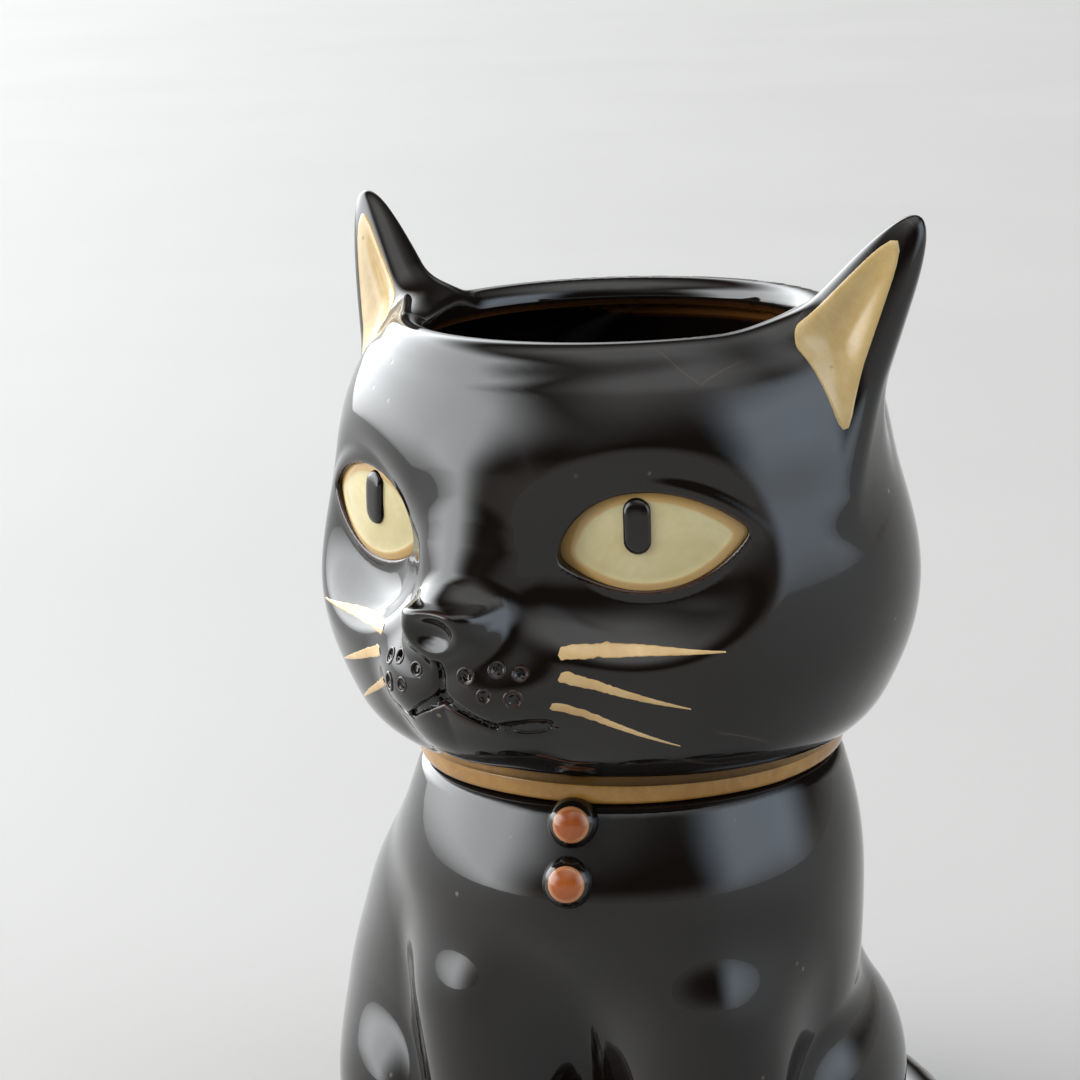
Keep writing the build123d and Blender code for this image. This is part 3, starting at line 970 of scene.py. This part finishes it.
def whisker_strip(inner, outer, width, number):
    """An inlay laid on the cheek, sunk along its hand-cut edge."""
    count, across = 90, 11
    along = np.linspace(0, 1, count)
    random = np.random.default_rng(number + 3)
    jag = np.interp(along, np.linspace(0, 1, 40), random.normal(0, 0.09, 40))
    start, end = np.array(inner), np.array(outer)
    way = (end - start) / np.linalg.norm(end - start)
    cross = np.array([-way[1], way[0]])
    points = []
    for i, s in enumerate(along):
        half = width / 2 * (1 - 0.88 * s ** 1.6) * min(1, 0.6 + s * 16)
        for t in np.linspace(-1, 1, across):
            spot = start + (end - start) * s + cross * (half * t + jag[i] * (0.3 + abs(t)) * (1 - s))
            points.append(spot)
    edge = np.abs(np.tile(np.linspace(-1, 1, across), count))
    level = np.interp(edge, [0, 0.75, 1], [0.12, 0.08, -0.4])
    points = onto_face(*np.array(points).T)
    points += gradient(plain_face, points) * level[:, None]
    return points, sheet_faces(count, across), np.clip(edge - 0.45, 0, 1) * 1.4


strips = [whisker_strip(*whisker, number) for number, whisker in enumerate(WHISKERS)]
strip_faces = []
for number, strip in enumerate(strips):
    strip_faces += [tuple(i + number * len(strip[0]) for i in quad) for quad in strip[1]]
make_pair(
    "whisker_inlay", "whiskers", np.concatenate([strip[0] for strip in strips]),
    strip_faces, np.concatenate([strip[2] for strip in strips]), cream,
)


def lining_edge(u, w):
    """The outline of the ear's lining on the ear's plane, from its tip."""
    past = ear_outline(tuple((np.array(EAR_TIP) + np.stack([u, 0 * u, w], axis=1) @ EAR_FRAME.T).T))[3]
    return within(within(past[0], past[1], 6), past[2], 4)


lining_middle = np.mean(EAR_CORNERS, axis=0)[[0, 2]]
lining_rim = outline_rays(lining_edge, lining_middle, COUNT, 40)
lining_rings = np.array([*np.linspace(0.05, 0.94, 20), 0.98, 1.02])
lining_flat = [lining_middle + lining_rim * share for share in lining_rings]
lining_flat = np.concatenate(lining_flat + [lining_middle[None]])
lining_level = np.repeat(np.interp(lining_rings, [0, 0.94, 1.02], [0.16, 0.12, -0.35]), COUNT)
lining_flat = np.stack([lining_flat[:, 0], 0 * lining_flat[:, 0] - 0.5, lining_flat[:, 1]], axis=1)
lining_verts = settle(
    lambda p: head_outside(p, marks=False), np.array(EAR_TIP) + lining_flat @ EAR_FRAME.T, 14,
    level=np.append(lining_level, 0.16),
)
lining_quads = sheet_faces(len(lining_rings), COUNT, closed=True) + hub_faces(len(lining_verts) - 1, COUNT)
lining_wear = np.append(np.repeat(np.interp(lining_rings, [0, 0.93, 1.02], [0, 0.1, 1]), COUNT), 0)
make_pair("lining_glaze", "ear_lining", lining_verts, lining_quads, lining_wear, honey)


def lathe(profile, count, wobble):
    """A closed ring turned round the z axis, a little uneven."""
    points = []
    for angle in np.linspace(0, 2 * math.pi, count, endpoint=False):
        stray = wobble * (math.sin(3 * angle + 1) + 0.6 * math.sin(7 * angle))
        for radius, height in profile:
            reach = radius + stray * 0.3
            points.append((reach * math.cos(angle), reach * math.sin(angle), height + stray))
    size = len(profile)
    faces = []
    for i in range(count):
        k = (i + 1) % count
        for j in range(size):
            n = (j + 1) % size
            faces.append((i * size + j, k * size + j, k * size + n, i * size + n))
    return np.array(points), faces


def squared(value, power):
    return np.sign(value) * np.abs(value) ** power


angles = np.linspace(0, 2 * math.pi, 28, endpoint=False)
band_profile = np.stack([
    BAND_RADIUS + BAND_HALF[0] * squared(np.cos(angles), 0.8),
    BAND_HEIGHT + BAND_HALF[1] * squared(np.sin(angles), 0.7),
], axis=1)
band_verts, band_faces = lathe(band_profile, 160, 0.16)
band_wear = np.tile(np.maximum(0, np.abs(band_profile[:, 1] - BAND_HEIGHT) - 1.5) * 0.8, 160)
make("collar_band_glaze", "collar_band", band_verts, band_faces, band_wear, amber, HEAD_SEAT)


def stud(name, height, ahead, profile, wear_and_sheen, material):
    """A round form on the chest, from rings of a radius and a reach ahead."""
    cols = 40
    tilt = turned(BEAD_TURN, "Z") @ turned(-BEAD_TILT, "X")
    points = [
        tilt @ (radius * math.cos(angle), -reach, radius * math.sin(angle)) + (0, -ahead, height)
        for radius, reach in profile
        for angle in np.linspace(0, 2 * math.pi, cols, endpoint=False)
    ]
    faces = sheet_faces(len(profile), cols, closed=True) + [tuple(range(cols - 1, -1, -1))]
    faces = [tuple(reversed(face)) for face in faces]
    make(name + "_glaze", name, points, faces, np.repeat(wear_and_sheen, cols), material)


for word, height in BEAD_HEIGHTS.items():
    ahead = CHEST.depth(height) + CHEST.shift(height) - 0.8
    tilts = np.linspace(0.02, math.pi / 2 + 0.3, 14)
    dome = [(BEAD_RADIUS * math.sin(t), BEAD_RADIUS * math.cos(t)) for t in tilts]
    stud(word, height, ahead, dome, np.zeros(len(dome)), black)
    limit = math.asin(CAP_RADIUS / BEAD_RADIUS)
    swell = BEAD_RADIUS + CAP_RELIEF
    cap = [(swell * math.sin(t), swell * math.cos(t)) for t in np.linspace(0.02, limit, 10)]
    foot = BEAD_RADIUS * math.cos(limit)
    cap += [(CAP_RADIUS + 0.3, foot), (CAP_RADIUS, foot - 0.7)]
    cap_wear = np.interp([radius for radius, _ in cap], [0, CAP_RADIUS * 0.75, CAP_RADIUS], [0, 0, 0.9])
    stud(word + "_cap", height, ahead, cap, cap_wear, rust)


def ring_nodes(material):
    """A node group that sets a small ring on each point of a mesh, facing its own way."""
    tree = bpy.data.node_groups.new("rings_on_points", "GeometryNodeTree")
    tree.interface.new_socket("Geometry", in_out="INPUT", socket_type="NodeSocketGeometry")
    for label, kind, value in (
        ("Ring radius", "NodeSocketFloat", PORE_RADIUS * MM),
        ("Wire radius", "NodeSocketFloat", 0.27 * MM),
        ("Seed", "NodeSocketInt", 7),
    ):
        tree.interface.new_socket(label, in_out="INPUT", socket_type=kind).default_value = value
    tree.interface.new_socket("Geometry", in_out="OUTPUT", socket_type="NodeSocketGeometry")

    def node(kind, **links):
        made = tree.nodes.new(kind)
        for key, value in links.items():
            socket = made.inputs[key.replace("_", " ")]
            if isinstance(value, bpy.types.NodeSocket):
                tree.links.new(value, socket)
            else:
                socket.default_value = value
        return made

    given = node("NodeGroupInput").outputs
    circle = node("GeometryNodeCurvePrimitiveCircle", Resolution=28, Radius=given["Ring radius"])
    wire = node("GeometryNodeCurvePrimitiveCircle", Resolution=8, Radius=given["Wire radius"])
    ring = node("GeometryNodeCurveToMesh", Curve=circle.outputs[0], Profile_Curve=wire.outputs[0])
    facing = node("GeometryNodeInputNamedAttribute", Name="facing")
    facing.data_type = "FLOAT_VECTOR"
    aim = node("FunctionNodeAlignRotationToVector", Vector=facing.outputs["Attribute"])
    aim.axis = "Z"
    size = node("FunctionNodeRandomValue", Seed=given["Seed"])
    size.inputs[2].default_value, size.inputs[3].default_value = 0.85, 1.12
    placed = node(
        "GeometryNodeInstanceOnPoints", Points=given["Geometry"], Instance=ring.outputs[0],
        Rotation=aim.outputs[0], Scale=size.outputs[1],
    )
    solid = node("GeometryNodeRealizeInstances", Geometry=placed.outputs[0])
    glazed = node("GeometryNodeSetMaterial", Geometry=solid.outputs[0], Material=material)
    node("NodeGroupOutput", Geometry=glazed.outputs[0])
    return tree


def pore_rings():
    """The raised rings round the pores of the muzzle."""
    places = np.array([(side * across, rise) for side in (1, -1) for across, rise in PORES], float)
    spots = onto_face(places[:, 0], places[:, 1])
    slope = gradient(plain_face, spots)
    spots -= 0.12 * slope
    turn = np.array(HEAD_SEAT.to_3x3())
    mesh = bpy.data.meshes.new("pore_points")
    mesh.from_pydata((spots * MM).tolist(), [], [])
    mesh.transform(HEAD_SEAT)
    facing = mesh.attributes.new("facing", "FLOAT_VECTOR", "POINT")
    facing.data.foreach_set("vector", (slope @ turn.T).ravel())
    holder = bpy.data.objects.new("pore_points", mesh)
    bpy.context.scene.collection.objects.link(holder)
    holder.modifiers.new("rings", "NODES").node_group = ring_nodes(black)
    bpy.context.view_layer.update()
    made = bpy.data.meshes.new_from_object(holder.evaluated_get(bpy.context.evaluated_depsgraph_get()))
    bpy.data.objects.remove(holder)
    made.name = "pore_rings"
    made.attributes.new("wear_and_sheen", "FLOAT", "POINT").data.foreach_set("value", np.full(len(made.vertices), 0.95))
    made.polygons.foreach_set("use_smooth", np.ones(len(made.polygons), bool))
    made.update()
    enlist(made, None)


pore_rings()


# Floor, light and camera
def stage_floor():
    paint = Paint("pale_floor")
    tone = paint.mix(paint.noise(3, 4), (0.4, 0.39, 0.375), (0.45, 0.44, 0.422))
    paint.finish(tone, 0.6, paint.noise(220, 3), 0.00005)
    half = 14.0
    mesh = bpy.data.meshes.new("floor")
    corners = [(-half, -half, 0), (half, -half, 0), (half, half, 0), (-half, half, 0)]
    mesh.from_pydata(corners, [], [(0, 1, 2, 3)])
    mesh.materials.append(paint.material)
    floor = bpy.data.objects.new("floor", mesh)
    bpy.context.scene.collection.objects.link(floor)


def soft_room():
    """A dim room with soft-edged windows; azimuths run from the camera's side."""
    world = bpy.data.worlds.new("room")
    world.use_nodes = True
    tree = world.node_tree
    way = tree.nodes.new("ShaderNodeTexCoord").outputs["Generated"]

    def along(vector):
        node = tree.nodes.new("ShaderNodeVectorMath")
        node.operation = "DOT_PRODUCT"
        tree.links.new(way, node.inputs[0])
        node.inputs[1].default_value = vector
        return Flow(tree, node.outputs["Value"])

    height = along((0, 0, 1))
    lights = [((0.5, 0.48, 0.45), height.step(0.0, 0.24, 1.15, 0.07))]
    for azimuth, elevation, half_wide, half_high, soft, power, color in WINDOWS:
        turn, lift = math.radians(azimuth - 74.6), math.radians(elevation)
        aim = Vector((math.cos(lift) * math.cos(turn), math.cos(lift) * math.sin(turn), math.sin(lift)))
        across = Vector((-math.sin(turn), math.cos(turn), 0))
        rise = aim.cross(across)
        mask = along(aim).step(0.0, 0.1)
        for line, half in ((across, half_wide), (rise, half_high)):
            mask = mask * along(line).math("ABSOLUTE").step(half - soft, half + soft, 1.0, 0.0)
        lights.append((color, mask * power))
    channels = []
    for i in range(3):
        total = None
        for color, strength in lights:
            part = strength * color[i]
            total = part if total is None else total + part
        channels.append(total)
    color = tree.nodes.new("ShaderNodeCombineColor")
    for channel, socket in zip(channels, color.inputs):
        plug(tree, channel, socket)
    tree.links.new(color.outputs[0], tree.nodes["Background"].inputs["Color"])
    bpy.context.scene.world = world


stage_floor()
soft_room()

lens = bpy.data.cameras.new("camera")
lens.lens = 104.1
lens.sensor_width = 36
camera = bpy.data.objects.new("camera", lens)
right = Vector((0.95808802, 0.2842772, -0.03540944))
up = Vector((-0.03161968, 0.22778757, 0.97319732))
back = Vector((0.28472364, -0.93128905, 0.2272293))
camera.matrix_world = Matrix.Translation(Vector((156.22, -567.49, 274.25)) * MM) @ Matrix(
    (right, up, back)
).transposed().to_4x4()
bpy.context.scene.collection.objects.link(camera)
bpy.context.scene.camera = camera
bpy.context.scene.view_settings.view_transform = "Standard"
